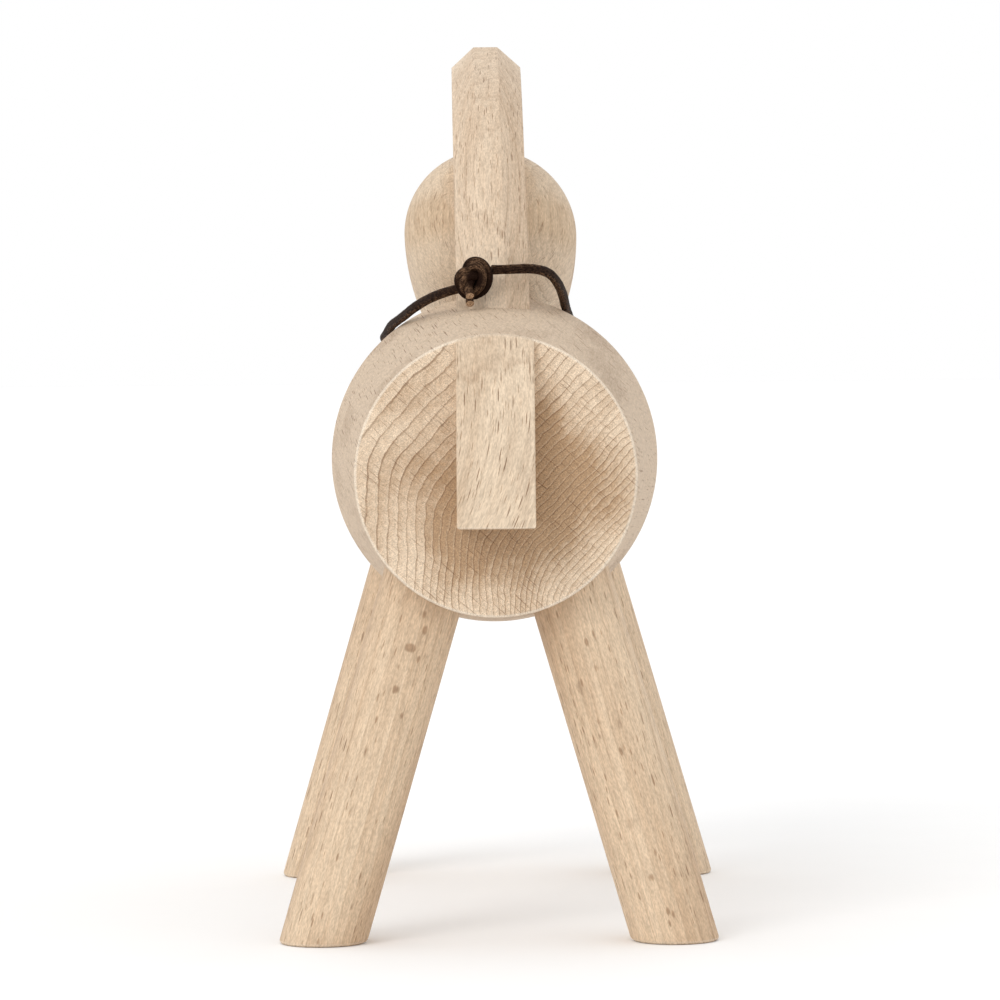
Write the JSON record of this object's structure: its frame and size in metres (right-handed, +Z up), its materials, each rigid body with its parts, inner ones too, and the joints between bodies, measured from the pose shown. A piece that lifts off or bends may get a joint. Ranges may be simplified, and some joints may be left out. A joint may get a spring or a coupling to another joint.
{
  "type": "wooden toy horse",
  "caption": "Plain beech toy horse: turned barrel on splayed round legs, flat neck board with a bevelled crest, egg-shaped head, tail board and a knotted leather lace.",
  "frame": {"origin": "on the floor under the middle of the horse's length and width", "axes": "+Z up, the horse faces -Y, +X to the horse's left"},
  "size_m": [0.093, 0.1982, 0.18],
  "materials": {
    "beech_barrel": "sanded, unfinished beech",
    "beech_legs": "sanded, unfinished beech",
    "beech_boards": "sanded, unfinished beech",
    "beech_head": "sanded, unfinished beech",
    "beech_pin": "sanded, unfinished beech",
    "leather_lace": "dark brown, slightly waxed"
  },
  "bodies": {
    "root": {"barrel_body": "beech_barrel", "leg_rear_left": "beech_legs", "leg_rear_right": "beech_legs", "leg_front_left": "beech_legs", "leg_front_right": "beech_legs", "neck_board": "beech_boards", "tail": "beech_boards", "head": "beech_head", "head_pin": "beech_pin", "neck_lace": "leather_lace", "lace_knot": "leather_lace"}
  },
  "joints": []
}
